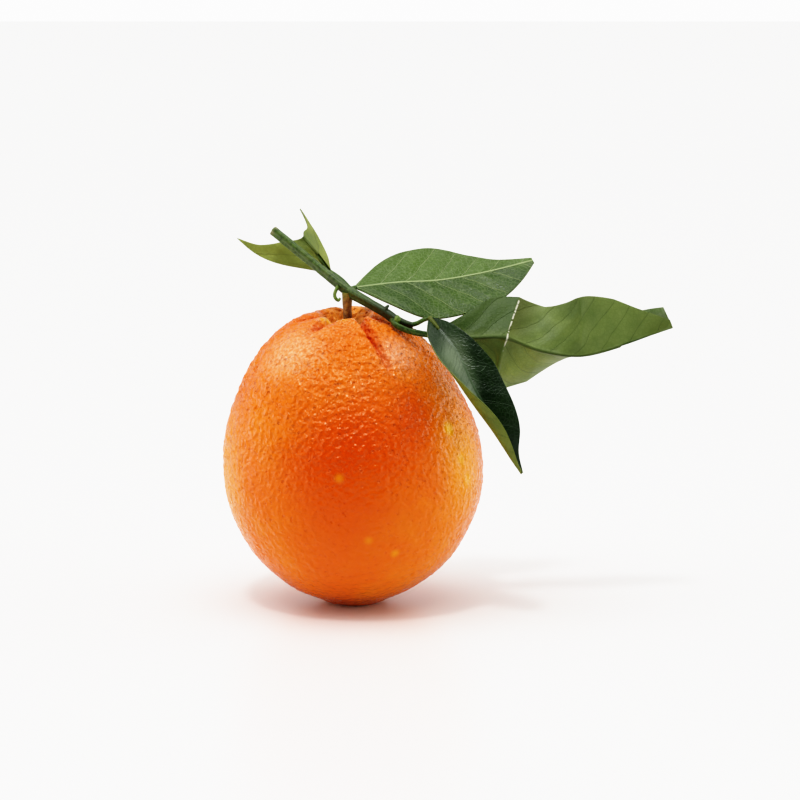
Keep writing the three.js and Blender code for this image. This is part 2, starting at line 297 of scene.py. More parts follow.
def makeFruit(materials):
    bm = bmesh.new()
    bmesh.ops.create_uvsphere(bm, u_segments=fruit["columns"], v_segments=fruit["rows"], radius=1)
    profile = [Vector(p) for p in fruit["profile"]]
    insideAt = {}
    for vert in bm.verts:
        t = math.acos(min(max(vert.co.z, -1), 1)) / math.pi
        angle = math.atan2(vert.co.y, vert.co.x)
        here = along(profile, t)
        ahead = (along(profile, t + 0.002) - along(profile, t - 0.002)).normalized()
        radius, height = here
        height = max(height, 0)
        onShoulder = height > fruit["shoulder"]
        depth, inside = creaseShape(angle, radius) if onShoulder else (0, 0)
        radius = max(radius + ahead.y * depth, 0)
        height -= ahead.x * depth
        lean = -fruit["lean"] * smoothStep(*fruit["leanHeights"], here.y)
        if onShoulder:
            inner, full, fading, outer = fruit["rimRadii"]
            nearRim = smoothStep(inner, full, here.x) * (1 - smoothStep(fading, outer, here.x))
            backwards = math.sin(angle) + fruit["rimTiltSide"] * math.cos(angle)
            height += fruit["rimTilt"] * nearRim * backwards
        vert.co = Vector((radius * math.cos(angle) + lean, radius * math.sin(angle), height)) * mm
        insideAt[vert.index] = inside
    bm.normal_update()
    creaseLayer = bm.verts.layers.float.new("crease")
    moves = []
    for vert in bm.verts:
        height = vert.co.z / mm
        moves.append(skinRelief(vert.co, height) * smoothStep(0.2, 6, height))  # none on the flat spot
        vert[creaseLayer] = insideAt[vert.index]
    for vert, relief in zip(bm.verts, moves):
        vert.co += vert.normal * relief * mm
        vert.co.z = max(vert.co.z, 0)
    return finishPiece(bm, "orangeFruit", materials, "fruit")


peel = {
    "ramp": [(0.30, "dc6409"), (0.52, "e2700e"), (0.72, "e8841a")],
    # soft areas: centre in mm, reach in mm, colour, strength; some are the peel's own colour, some painted
    # shade, side light and sheen
    "areas": [
        # the front, which faces the dark side of the room, redder and darker: partly the peel's own blush,
        # partly painted shade
        ((1, -38, 30), (34, 26, 40), "da5606", 0.7),
        ((-2, -37, 53), (38, 30, 30), "ca4202", 0.82),
        # painted shadow: the front leaf's shadow on the peel, a darker red patch
        ((17, -28, 60), (10, 14, 16), "c44614", 0.65),
        # the right side yellower: partly the peel's own colour, partly painted light from the right
        ((33, -19, 46), (15, 20, 30), "f0960e", 0.9),
        # the left side yellower: partly the peel's own colour, partly painted light from the left
        ((-37, -8, 36), (13, 26, 34), "ec962a", 0.75),
        # painted light: the back wall of the stalk dimple, under the leaves' shadow, painted bright orange
        ((-1, 6, 84), (16, 12, 9), "ffa04a", 0.95),
        ((-5, -7, 85), (6, 6, 5), "f6c040", 0.9),
        # painted shade: a dark red patch in the short crease left of the stalk
        ((-9, -13, 83.4), (5.5, 3, 3), "bc3206", 0.85),
        # painted sheen: pale patches on the shoulders right and left of the main crease
        ((13, -19, 77), (10, 10, 8.5), "f2a47c", 0.45),
        ((-17, -16, 76), (15, 14, 12), "f6ae7c", 0.45),
    ],
    # where pale specks are painted on as glints of light: centre and reach in mm, colour, strength
    "paintedGlints": [
        ((-16, -17, 75), (18, 16, 14), "ffd2ac", 0.6),
        ((14, -20, 76), (12, 12, 10), "ffccae", 0.6),
        ((-2, -26, 70), (22, 14, 14), "ffb880", 0.3),
        ((30, -12, 66), (10, 14, 14), "f8c4a0", 0.4),
        ((0, -8, 84), (18, 18, 9), "ffc890", 0.5),
    ],
    # small yellow spots: centre in mm, reach in mm, strength
    "spots": [
        ((-3.3, -37.6, 43.9), 2.1, 0.28), ((12.2, -30.8, 21), 2.1, 0.33), ((27.5, -21.5, 55.2), 3.2, 0.7),
        ((4.8, -34.8, 25.6), 2.0, 0.2), ((30, -20, 46), 3.0, 0.5), ((31.5, -18, 40), 3.5, 0.5),
    ],
    "spotColour": "f4be22",
    "patchSize": 30,  # mm
    "poreSpacing": 2.1,  # mm between oil pores
    "poreEdge": (0.05, 0.26),  # shares of that spacing where a pit starts to rise and where it ends
    "poreColour": "cc4406",
    "poreDepth": 0.4,
    "grainSize": 1.45,  # mm
    "glintSize": 0.8,  # mm
    "glintLevels": (0.42, 0.7),  # noise levels where a painted glint begins and is full
    "creaseShadeColour": "bc3a08",
    "roughness": (0.13, 0.2),
    "coarseHeights": (12, 66),  # mm, from the height where the skin is smoothest to where it is coarsest
    "smoothest": 0.38,  # share of the bumps that is left low down
}


def softBall(tree, place, centre, reach, strength):
    # 1 at the centre falling smoothly to 0 at the reach, times the strength
    moved = addNode(tree, "ShaderNodeMapping", {
        "Location": [-c / r for c, r in zip(centre, reach)],
        "Scale": [1 / (r * mm) for r in reach]}, {"Vector": place})
    ball = addNode(tree, "ShaderNodeTexGradient", links={"Vector": moved.outputs["Vector"]},
                   gradient_type="SPHERICAL")
    return addNode(tree, "ShaderNodeMapRange", {"To Max": strength}, {"Value": ball.outputs["Fac"]},
                   interpolation_type="SMOOTHSTEP").outputs["Result"]


def tinted(tree, colour, tint, amount):
    return addNode(tree, "ShaderNodeMix", {7: linearColour(tint)}, {0: amount, 6: colour},
                   data_type="RGBA").outputs[2]


def orangePeel():
    # ripe orange peel, as grown: a waxy, pored skin, so its bumps carry many small sharp lights, with painted
    # glints, sheen, side light and shade in its colour
    material, tree = newMaterial("ripeOrangePeel")
    place = addNode(tree, "ShaderNodeTexCoord").outputs["Object"]
    crease = addNode(tree, "ShaderNodeAttribute", attribute_name="crease").outputs["Fac"]

    # soft patches about 30 mm across, and areas that are redder or paler, some of them painted shade, side
    # light and sheen
    patches = addNode(tree, "ShaderNodeTexNoise", {
        "Scale": 1 / (peel["patchSize"] * mm), "Detail": 4, "Roughness": 0.6}, {"Vector": place})
    colour = addNode(tree, "ShaderNodeValToRGB", links={"Fac": patches.outputs["Fac"]},
                     ramp=peel["ramp"]).outputs["Color"]
    for centre, reach, tint, strength in peel["areas"]:
        colour = tinted(tree, colour, tint, softBall(tree, place, centre, reach, strength))
    for centre, reach, strength in peel["spots"]:
        ball = softBall(tree, place, centre, (reach, reach, reach), strength)
        colour = tinted(tree, colour, peel["spotColour"], ball)

    # rounded grain a little over a millimetre across, and painted glints, pale specks a little finer
    grain = addNode(tree, "ShaderNodeTexNoise", {
        "Scale": 1 / (peel["grainSize"] * mm), "Detail": 1, "Roughness": 0.4}, {"Vector": place})
    glintNoise = addNode(tree, "ShaderNodeTexNoise", {
        "Scale": 1 / (peel["glintSize"] * mm), "Detail": 2}, {"Vector": place})
    speckStart, speckFull = peel["glintLevels"]
    tops = addNode(tree, "ShaderNodeMapRange", {"From Min": speckStart, "From Max": speckFull},
                   {"Value": glintNoise.outputs["Fac"]}).outputs["Result"]
    # painted glints: pale specks on the bump tops where the light falls
    for centre, reach, tint, strength in peel["paintedGlints"]:
        ball = softBall(tree, place, centre, reach, strength)
        pale = addNode(tree, "ShaderNodeMath", links={0: ball, 1: tops}, operation="MULTIPLY").outputs[0]
        colour = tinted(tree, colour, tint, pale)

    # oil pores: redder pits about 1 mm wide, coarser than real ones so that they show
    pores = addNode(tree, "ShaderNodeTexVoronoi", {
        "Scale": 1 / (peel["poreSpacing"] * mm)}, {"Vector": place})
    pitFloor, pitEdge = peel["poreEdge"]
    pit = addNode(tree, "ShaderNodeMapRange", {
        "From Min": pitFloor, "From Max": pitEdge, "To Min": 1, "To Max": 0},
        {"Value": pores.outputs["Distance"]}, interpolation_type="SMOOTHSTEP").outputs["Result"]
    # only some pores are redder, in drifts about 6 mm across
    uneven = addNode(tree, "ShaderNodeTexNoise", {"Scale": 1 / 0.006, "Detail": 2}, {"Vector": place})
    someOf = addNode(tree, "ShaderNodeMapRange", {"From Min": 0.4, "From Max": 0.7, "To Max": 0.3},
                     {"Value": uneven.outputs["Fac"]}).outputs["Result"]
    pitTint = addNode(tree, "ShaderNodeMath", links={0: pit, 1: someOf}, operation="MULTIPLY").outputs[0]
    colour = tinted(tree, colour, peel["poreColour"], pitTint)
    # painted shade: the creases darker red where they are deepest
    creaseShade = addNode(tree, "ShaderNodeMath", {1: 0.7}, {0: crease}, operation="MULTIPLY").outputs[0]
    colour = tinted(tree, colour, peel["creaseShadeColour"], creaseShade)

    # the grain stands up and the pits are sunk
    sunk = addNode(tree, "ShaderNodeMath", {1: peel["poreDepth"]}, {0: pit},
                   operation="MULTIPLY").outputs[0]
    skin = addNode(tree, "ShaderNodeMath", links={0: grain.outputs["Fac"], 1: sunk},
                   operation="SUBTRACT").outputs[0]
    high = addNode(tree, "ShaderNodeSeparateXYZ", links={"Vector": place})
    # the skin is coarse on the shoulders and smoother low down
    smoothTo, coarseFrom = peel["coarseHeights"]
    coarse = addNode(tree, "ShaderNodeMapRange", {
        "From Min": smoothTo * mm, "From Max": coarseFrom * mm, "To Min": peel["smoothest"], "To Max": 1.0},
        {"Value": high.outputs["Z"]})
    bump = addNode(tree, "ShaderNodeBump", {"Distance": 0.001}, {
        "Height": skin, "Strength": coarse.outputs["Result"]})
    glossiest, dullest = peel["roughness"]
    gloss = addNode(tree, "ShaderNodeMapRange", {"To Min": glossiest, "To Max": dullest},
                    {"Value": patches.outputs["Fac"]})
    shader = addNode(tree, "ShaderNodeBsdfPrincipled", {
        "IOR": 1.4, "Specular Tint": (1.0, 0.85, 0.6, 1.0), "Subsurface Weight": 0.03,
        "Subsurface Radius": (1.0, 0.3, 0.08), "Subsurface Scale": 0.0012,
    }, {"Base Color": colour, "Roughness": gloss.outputs["Result"], "Normal": bump.outputs["Normal"]})
    addNode(tree, "ShaderNodeOutputMaterial", links={"Surface": shader.outputs["BSDF"]})
    return material


makeFruit([orangePeel()])
print("fruit done")


# woody shoots: twig, stalk, leaf stalks and the small pieces on the twig
shoots = {
    "twig": {
        "path": [
            (-23.6, 9, 109), (-15.6, 6.8, 102.7), (-8.1, 4, 96.9), (-1.5, 0, 92.3), (4.1, -4.5, 89.5),
            (9.2, -7.8, 86.9), (13.2, -9.6, 84.4), (17.4, -10.2, 83.2),
        ],
        "radius": [1.25, 1.3, 1.3, 1.5, 1.35, 1.3, 1.3, 0.85],
        "steps": 150, "sides": 36, "ridges": 0.2, "turn": 40,
    },
    "stalk": {
        "path": [(-1.55, 0, 83.2), (-1.7, 0, 87.6), (-1.6, 0, 91.6)],
        "radius": [1.25, 1.35, 1.65],
        "steps": 50, "sides": 30, "ridges": 0.05, "turn": 10,
    },
    "topPetiole": {
        "path": [(-1.2, 0.4, 92.3), (-0.5, 1.3, 92.5), (0.6, 2.5, 92.75)],
        "radius": [0.9, 0.8, 0.75],
        "steps": 16, "sides": 20, "ridges": 0.05, "turn": 0,
    },
    "tornPetiole": {
        "path": [(-1.4, 0.4, 92.8), (-3.9, 4.2, 94.9), (-6.95, 6.95, 96.75)],
        "radius": [0.9, 0.85, 0.8],
        "steps": 40, "sides": 20, "ridges": 0.08, "turn": 0,
    },
    "frontPetiole": {
        "path": [(16.6, -10.2, 83.4), (18.5, -10.8, 84), (20.3, -12, 85.1), (22.1, -13.1, 85.8)],
        "radius": [0.7, 0.65, 0.6, 0.6],
        "steps": 40, "sides": 20, "ridges": 0.08, "turn": 0,
    },
    "foldedPetiole": {
        "path": [
            (11.4, -9.2, 85), (12.6, -11.8, 83.6), (16, -12.6, 82.1), (19.5, -12.4, 81.3), (23, -12, 80.7),
        ],
        "radius": [0.95, 0.9, 0.85, 0.9, 0.85],
        "steps": 60, "sides": 20, "ridges": 0.08, "turn": 0,
    },
    "bract": {
        "path": [
            (-4.2, 0.9, 93.7), (-5.3, -0.6, 91.6), (-5.2, -1.2, 90.2), (-4.3, -1.2, 89.4), (-3.7, -0.9, 90.1),
        ],
        "radius": [0.55, 0.5, 0.5, 0.45, 0.3],
        "steps": 40, "sides": 16, "ridges": 0.1, "turn": 0,
    },
    "spur": {
        "path": [(8.6, -8, 86.8), (9.6, -8.9, 88), (10.3, -9.4, 88.9)],
        "radius": [0.8, 0.6, 0.35],
        "steps": 16, "sides": 16, "ridges": 0.1, "turn": 0,
    },
}


def growShoot(spec):
    # a ring is extruded along the path, turned to face along it at each step
    path = [Vector(p) for p in spec["path"]]
    bm = bmesh.new()
    bmesh.ops.create_circle(bm, segments=spec["sides"], radius=1, cap_ends=False)
    angleOf = {vert: math.atan2(vert.co.y, vert.co.x) for vert in bm.verts}
    facing = (along(path, 0.01) - along(path, 0)).normalized()
    side = facing.orthogonal().normalized()
    for step in range(spec["steps"] + 1):
        t = step / spec["steps"]
        centre = along(path, t)
        ahead = (along(path, min(t + 0.01, 1)) - along(path, max(t - 0.01, 0))).normalized()
        side = (side - ahead * side.dot(ahead)).normalized()
        across = ahead.cross(side)
        if step > 0:
            # each new corner starts on top of an old one and takes over its angle
            edges = [e for e in bm.edges if e.verts[0] in angleOf and e.verts[1] in angleOf]
            made = bmesh.ops.extrude_edge_only(bm, edges=edges)["geom"]
            angleAt = {tuple(vert.co): angle for vert, angle in angleOf.items()}
            angleOf = {g: angleAt[tuple(g.co)] for g in made if isinstance(g, bmesh.types.BMVert)}
        radius = along(spec["radius"], t)
        knots = 0.05 * noise.noise(centre / 2.5)
        for vert, angle in angleOf.items():
            ridged = 1 + spec["ridges"] * math.cos(3 * angle + math.radians(spec["turn"])) + knots
            vert.co = (centre + (side * math.cos(angle) + across * math.sin(angle)) * radius * ridged) * mm
    bmesh.ops.holes_fill(bm, edges=[e for e in bm.edges if e.is_boundary], sides=0)
    bmesh.ops.recalc_face_normals(bm, faces=bm.faces)
    return bm


def barkMaterial(name, dark, light, blotch, roughness, areas=()):
    # citrus bark, as grown: a smooth skin with a fine mottle and blotches about 3 mm across
    material, tree = newMaterial(name)
    place = addNode(tree, "ShaderNodeTexCoord").outputs["Object"]
    # a mottle under a millimetre across, coarser than the real one so that it shows
    mottle = addNode(tree, "ShaderNodeTexNoise", {"Scale": 1 / 0.0008, "Detail": 4}, {"Vector": place})
    colour = addNode(tree, "ShaderNodeValToRGB", links={"Fac": mottle.outputs["Fac"]},
                     ramp=[(0.35, dark), (0.65, light)]).outputs["Color"]
    patches = addNode(tree, "ShaderNodeTexNoise", {"Scale": 1 / 0.003, "Detail": 2}, {"Vector": place})
    amount = addNode(tree, "ShaderNodeMapRange", {"From Min": 0.55, "From Max": 0.75, "To Max": 0.6},
                     {"Value": patches.outputs["Fac"]})
    colour = tinted(tree, colour, blotch, amount.outputs["Result"])
    for centre, reach, tint, strength in areas:
        colour = tinted(tree, colour, tint, softBall(tree, place, centre, reach, strength))
    bump = addNode(tree, "ShaderNodeBump", {"Strength": 0.5, "Distance": 0.00015},
                   {"Height": mottle.outputs["Fac"]})
    shader = addNode(tree, "ShaderNodeBsdfPrincipled", {"Roughness": roughness, "IOR": 1.45}, {
        "Base Color": colour, "Normal": bump.outputs["Normal"]})
    addNode(tree, "ShaderNodeOutputMaterial", links={"Surface": shader.outputs["BSDF"]})
    return material


# this year's bark, still green and a little waxy: a soft light runs along it
twigBark = barkMaterial("greenTwigBark", "33461f", "586e36", "6a783e", 0.42, [
    ((12, -9, 87), (22, 16, 13), "303e24", 1.0),  # darker past the fruit stalk
    ((-4, 2, 94), (7, 5, 5), "34471c", 0.6),
    ((-23.6, 9, 109), (2, 2, 2), "b8a878", 0.8),  # the dry cut end
])
# older bark that has turned corky: brown and nearly dull, greener where it joins the twig
stalkBark = barkMaterial("brownStalkBark", "704c24", "a67c42", "7c862e", 0.5, [
    ((-1.6, 0, 92.5), (4, 4, 4.5), "64802e", 0.9),
    ((-1.6, 0, 82.8), (4, 4, 4), "2c180c", 0.9),
])
# soft new growth: plain matte green
youngShoot = barkMaterial("youngGreenShoot", "4e6428", "768c42", "86904a", 0.5)
# the smooth skin of a leaf stalk: dark green with a faint shine
petioleSkin = barkMaterial("leafStalkSkin", "2c4218", "4c662a", "62783a", 0.45)

for key, name, slot, node, material in [
    ("twig", "leafyTwig", "twig_bark", "twig", twigBark),
    ("stalk", "fruitStalk", "stalk_bark", "fruit_stalk", stalkBark),
    ("topPetiole", "topLeafStalk", "petiole_green", "top_leaf_petiole", petioleSkin),
    ("tornPetiole", "tornLeafStalk", "petiole_green", "torn_leaf_petiole", petioleSkin),
    ("frontPetiole", "frontLeafStalk", "petiole_green", "front_leaf_petiole", petioleSkin),
    ("foldedPetiole", "foldedLeafStalk", "petiole_green", "folded_leaf_petiole", petioleSkin),
    ("bract", "curledBract", "young_shoot", "bract", youngShoot),
    ("spur", "twigSpur", "twig_bark", "twig_spur", twigBark),
]:
    finishPiece(growShoot(shoots[key]), name, [material], node)
print("shoots done")


# the calyx, a five-lobed woody star
calyx = {"centre": (-1.6, 0, 81.8), "radius": 3.6, "lobe": 0.6, "height": 1.1, "droop": 0.25}


def makeCalyx(material):
    bm = bmesh.new()
    bmesh.ops.create_uvsphere(bm, u_segments=80, v_segments=24, radius=1)
    for vert in bm.verts:
        angle = math.atan2(vert.co.y, vert.co.x)
        spread = math.hypot(vert.co.x, vert.co.y)
        radius = spread * (calyx["radius"] + calyx["lobe"] * math.cos(5 * angle))
        droop = 1 - calyx["droop"] * spread * math.cos(5 * angle)
        height = calyx["height"] * (0.5 + 0.5 * vert.co.z) * droop
        place = Vector((radius * math.cos(angle), radius * math.sin(angle), height))
        vert.co = (Vector(calyx["centre"]) + place) * mm
    return finishPiece(bm, "calyxStar", [material], "calyx")


# the resting bud between the folded leaf's stalk and the twig, narrower at its top
bud = {"centre": (12.9, -11.2, 85.2), "halfWidth": 0.95, "halfHeight": 1.25, "pinch": 0.35}


def makeBud(material):
    bm = bmesh.new()
    bmesh.ops.create_uvsphere(bm, u_segments=32, v_segments=20, radius=1)
    for vert in bm.verts:
        point = vert.co.normalized()
        width = bud["halfWidth"] * (1 - bud["pinch"] * smoothStep(0.2, 1, point.z))
        place = Vector((point.x * width, point.y * width, point.z * bud["halfHeight"]))
        vert.co = (Vector(bud["centre"]) + place) * mm
    return finishPiece(bm, "axilBud", [material], "leaf_bud")


# the calyx has dried to wood: dull, with no shine at all
makeCalyx(barkMaterial("dryCalyxWood", "5c5226", "8c7c3c", "6c7a30", 0.7))
makeBud(youngShoot)
print("calyx and bud done")


# the leaves, each a thin blade bent along its midrib: stations from the base to the tip of where the midrib
# runs, which way its upper face looks, and each half's width in mm, fold and curl in degrees
leafThickness = 0.35  # mm of the blade beside its midrib
midribThickness = 0.85  # mm at the midrib's base
leaves = {
    "top": {
        "spine": [(0.5, 2.4, 92.75), (12.4, 6, 93.8), (25.4, 10, 94.1), (39.3, 14, 96.1), (53, 17, 99.2)],
        "face": [(0, -0.5, 1), (0, -0.62, 1), (0, -0.7, 1), (0, -0.7, 1), (0, -0.6, 1)],
        "left": {
            "width": [0.5, 5.4, 9.2, 12.2, 13.6, 13.8, 11.7, 7.9, 4.6, 2.6, 1.2],
            "fold": [2, 4, 4, 4, 2], "curl": [0, 0, 0, 0, 0],
        },
        "right": {
            "width": [0.5, 6.8, 11.4, 14.2, 15, 14.7, 13.9, 12.8, 10.6, 6.9, 1.2],
            "fold": [4, -2, -4, -4, 0], "curl": [0, -6, -6, -6, 0],
        },
        "columns": 80, "rows": 150,
    },
    "front": {
        "spine": [
            (22, -13.1, 85.8), (29.3, -20.5, 77.6), (34.8, -26, 66.9), (41.5, -28.5, 55.9),
            (47.9, -28.5, 43.6),
        ],
        "face": [(0.1, -1, 0.3), (0.3, -1, 0.2), (0.2, -1, 0.1)],
        "left": {
            "width": [0.5, 3.4, 5, 6.6, 8.2, 8.4, 8, 7.1, 5.3, 1.9, 0.4],
            "fold": [30, 22, 10, 8, 5], "curl": [-10, -10, -10, -10, -10],
        },
        "right": {
            "width": [0.5, 4.8, 7, 9, 10.2, 10.5, 10, 9, 7, 4, 0.4],
            "fold": [35, 22, 15, 15, 15], "curl": [0, 20, 95, 150, 150],
        },
        "columns": 80, "rows": 150,
    },
    "folded": {
        "spine": [
            (22.8, -12, 80.7), (33.9, -13, 80), (43.4, -13.5, 80), (54.2, -13, 76.2), (65.8, -11.5, 74.7),
            (78.8, -9.5, 77.7), (92.2, -7.5, 82.1),
        ],
        "face": [(0, 1, 0.3), (0, 1, 0.1), (0, 1, 0), (0, 1, 0)],
        "left": {
            "width": [0.5, 7, 11.5, 14.5, 16.7, 17.7, 17.6, 16.6, 15.5, 14, 12.3, 10.5, 7.4],
            "fold": [5, 5, 5, 48, 86, 115, 145], "curl": [0, 0, 0, 0, 0, 0, 0],
        },
        "right": {
            "width": [0.5, 4.8, 8.8, 12.2, 13.9, 14.5, 14.4, 15.3, 16.6, 16.4, 13.6, 8.4, 2.6],
            "fold": [30, 40, 45, 36, 8, 10, 15], "curl": [0, 0, 0, 0, 0, 0, 0],
        },
        # old folds: where they cross the midrib, slant, height towards the underside, reach in mm, halves
        "creases": [(0.34, 0.08, 1.0, 1.6, "both"), (0.66, 0.1, 1.0, 4.0, "right")],
        "columns": 90, "rows": 180,
    },
    "torn": {
        "spine": [(-6.8, 6.8, 96.7), (-11.7, 10.5, 103), (-18, 14, 110), (-24.7, 17.4, 117.6)],
        "face": [(-0.42, 0.84, -0.34), (-0.42, 0.84, -0.34)],
        # what is left of its length, from the right edge to the left
        "tear": [0.93, 0.76, 0.68, 0.63, 0.58, 0.53, 0.51, 0.54, 0.58, 0.6, 0.62, 0.68, 0.875],
        "left": {"width": [0.5, 6.9, 12.2, 17.2], "fold": [36, 41, 43], "curl": [0, 0]},
        "right": {"width": [0.5, 7.9, 13.6, 15.6], "fold": [33, 33], "curl": [0, 0]},
        "columns": 96, "rows": 90,
    },
}


def leafPoint(leaf, u, v):
    # the place and the upper-face normal at u along the midrib and v across, minus to the left
    spine, face = leaf["spinePoints"], leaf["facePoints"]
    middle = along(spine, u)
    tangent = (along(spine, min(u + 0.001, 1)) - along(spine, max(u - 0.001, 0))).normalized()
    up = along(face, u)
    up = (up - tangent * up.dot(tangent)).normalized()
    rightward = tangent.cross(up)
    half = leaf["left"] if v < 0 else leaf["right"]
    side = -1 if v < 0 else 1
    fold = math.radians(along(half["fold"], u))
    curl = math.radians(along(half["curl"], u)) or 1e-5
    width = along(half["width"], u)
    turn = fold + curl * abs(v)
    out = width * (math.sin(turn) - math.sin(fold)) / curl
    rise = width * (math.cos(fold) - math.cos(turn)) / curl
    point = middle + rightward * (side * out) + up * rise
    return point, up * math.cos(turn) - rightward * (side * math.sin(turn)), width * abs(v)


def makeLeaf(key, name, node, materials):
    leaf = leaves[key]
    leaf["spinePoints"] = [Vector(p) for p in leaf["spine"]]
    leaf["facePoints"] = [Vector(p) for p in leaf["face"]]
    length = sum((along(leaf["spinePoints"], (i + 1) / 50) - along(leaf["spinePoints"], i / 50)).length
                 for i in range(50))
    print(name, "length", round(length, 1), "mm")
    bm = bmesh.new()
    bmesh.ops.create_grid(bm, x_segments=leaf["columns"], y_segments=leaf["rows"], size=1)
    uvLayer = bm.loops.layers.uv.new("blade")
    flat = {}
    for vert in bm.verts:
        v = vert.co.x
        survives = along(leaf["tear"], 0.5 - v / 2) if "tear" in leaf else 1
        u = (vert.co.y + 1) / 2 * survives
        point, normal, lateral = leafPoint(leaf, u, v)
        if abs(v) < 1e-6:
            other = leafPoint(leaf, u, -1e-6)[1]
            normal = (normal + other).normalized()
        # a gentle natural unevenness that grows towards the edge
        wave = noise.noise(Vector((lateral / 7, u * length / 9, 5 if v < 0 else 1))) * 0.35 * abs(v)
        for share, slant, height, reach, halves in leaf.get("creases", []):
            away = abs(u * length - share * length - slant * math.copysign(lateral, v))
            if halves == "both" or v > 0:
                wave -= height * math.exp(-away / reach) * min(1, abs(v) * 4 if halves != "both" else 1)
        vert.co = (point + normal * (wave + leafThickness / 2)) * mm
        flat[vert] = (math.copysign(lateral, v) * mm, u * length * mm)
    for bmFace in bm.faces:
        for loop in bmFace.loops:
            loop[uvLayer].uv = flat[loop.vert]
    # the midrib is thick at the base and thins towards the tip
    weights = {v.index: math.exp(-(flat[v][0] / mm / 0.45) ** 2) * (1 - 0.8 * flat[v][1] / mm / length)
               for v in bm.verts}
    piece = finishPiece(bm, name, materials, node)
    ribs = piece.vertex_groups.new(name="midrib")
    for index, weight in weights.items():
        if weight > 0.01:
            ribs.add([index], weight, "REPLACE")
    wall = piece.modifiers.new("bladeThickness", "SOLIDIFY")
    wall.thickness = midribThickness * mm
    wall.offset = -1
    wall.vertex_group = "midrib"
    wall.thickness_vertex_group = leafThickness / midribThickness
    wall.material_offset = 1
    wall.material_offset_rim = 2
    return piece


# leaf surfaces: colours, side veins (width and spacing in mm, slant), quilting between them, relief in mm,
# how much light passes through, and soft areas as on the peel
leafLooks = {
    # citrus leaf, upper face, with its natural wax: a soft shine and pale veins, a painted sheen on its left
    # half and painted glints
    "waxedLeafUpper": {
        "ramp": [(0.3, "2c470e"), (0.7, "445f16")], "sheenLeftHalf": ("5a762a", 0.65),
        "vein": "a8b884", "veinStrength": 0.9, "veinWidth": 0.32, "spacing": 8.5, "slant": 1.0,
        "quilt": 1.3, "relief": 0.35, "roughness": 0.37, "coat": 0.0, "through": 0.12,
        "leafGlints": ((20, 2, 99), (24, 14, 10), "c6d2a6", 0.55),
        "areas": [((50, 12, 95), (13, 13, 8), "2e4a10", 0.75), ((50, 16, 98.5), (6, 9, 3), "6a8440", 0.5)],
    },
    # an older, darker leaf with thick wax: nearly black green with broad pale reflections
    "waxedLeafDark": {
        "ramp": [(0.3, "14290f"), (0.7, "243a18")],
        "vein": "3c5a30", "veinStrength": 0.4, "veinWidth": 0.2, "spacing": 7.5, "slant": 1.0,
        "quilt": 0.5, "relief": 0.25, "roughness": 0.3, "coat": 0.35, "through": 0.06,
        "areas": [
            # painted reflections: two pale streaky bands down the blade
            ((28.5, -19, 74), (7, 24, 11), "94a284", 0.75), ((32.5, -25, 65), (5, 24, 12), "8a9a7e", 0.75),
        ],
    },
    # the upper face that the folded and the torn leaf turn away: dull green with little shine
    "waxedLeafFolded": {
        "ramp": [(0.3, "3f5a22"), (0.7, "5c7834")],
        "vein": "86a060", "veinStrength": 0.4, "veinWidth": 0.2, "spacing": 7.5, "slant": 1.1,
        "quilt": 1.0, "relief": 0.25, "roughness": 0.4, "coat": 0.0, "through": 0.12,
        "areas": [((90, -8, 84), (14, 14, 9), "565c38", 0.9)],
    },
    # citrus leaf, underside, without wax: matte grey-green with darker veins, and one cracked fold with
    # painted shade beside it
    "matteLeafUnderside": {
        "ramp": [(0.3, "627440"), (0.7, "829254")],
        "vein": "3e4e1e", "veinStrength": 0.75, "veinWidth": 0.2, "spacing": 7.5, "slant": 1.1,
        "quilt": 1.2, "relief": 0.2, "roughness": 0.5, "coat": 0.0, "through": 0.2,
        "areas": [((90, -8, 82), (13, 14, 9), "5e6a34", 0.8), ((48, -10, 69), (22, 14, 9), "909e3c", 0.6)],
        "crack": (0.34, 0.08),  # where it crosses the midrib as a share of the length, and its slant
    },
    # the underside of a thin young leaf: yellow green that lets light through, grey at the torn tips
    "tornLeafUnderside": {
        "ramp": [(0.3, "8a9448"), (0.7, "a6ae5c")],
        "vein": "4c5c26", "veinStrength": 0.6, "veinWidth": 0.2, "spacing": 7.0, "slant": 1.0,
        "quilt": 1.2, "relief": 0.3, "roughness": 0.5, "coat": 0.0, "through": 0.3,
        "areas": [
            ((-14, 14, 106), (9, 12, 9), "56703a", 0.7), ((-38, 8, 112), (7, 12, 7), "8c8c88", 0.95),
            ((-18, 16, 121), (6, 8, 6), "6c7460", 0.9),
        ],
    },
    # the underside that shows where the hanging leaf's edge rolls over: matte olive
    "hangingLeafUnderside": {
        "ramp": [(0.3, "646e30"), (0.7, "7c843c")],
        "vein": "4c5626", "veinStrength": 0.5, "veinWidth": 0.2, "spacing": 7.0, "slant": 1.0,
        "quilt": 0.6, "relief": 0.2, "roughness": 0.5, "coat": 0.0, "through": 0.15, "areas": [],
    },
    # the thin edge of every blade: a matte, paler line
    "paleLeafEdge": {
        "ramp": [(0.3, "5a6632"), (0.7, "747c44")],
        "vein": "8a9050", "veinStrength": 0.2, "veinWidth": 0.2, "spacing": 7.0, "slant": 1.0,
        "quilt": 0.0, "relief": 0.1, "roughness": 0.5, "coat": 0.0, "through": 0.1, "areas": [],
    },
}


# what all the blades share, sizes in mm
bladePattern = {
    "midribHalf": (0.12, 0.5),  # where the midrib's colour starts to fade and where it ends
    "bendSize": 9,  # along a side vein, from bend to bend
    "bend": 2,  # how far a side vein strays
    "netSize": 1.1,  # one cell of the net of tiny veins, coarser than the real net so that it shows
    "netStrength": 0.2,
    "patchSize": 10,
    "leafGlintSize": 1,
}


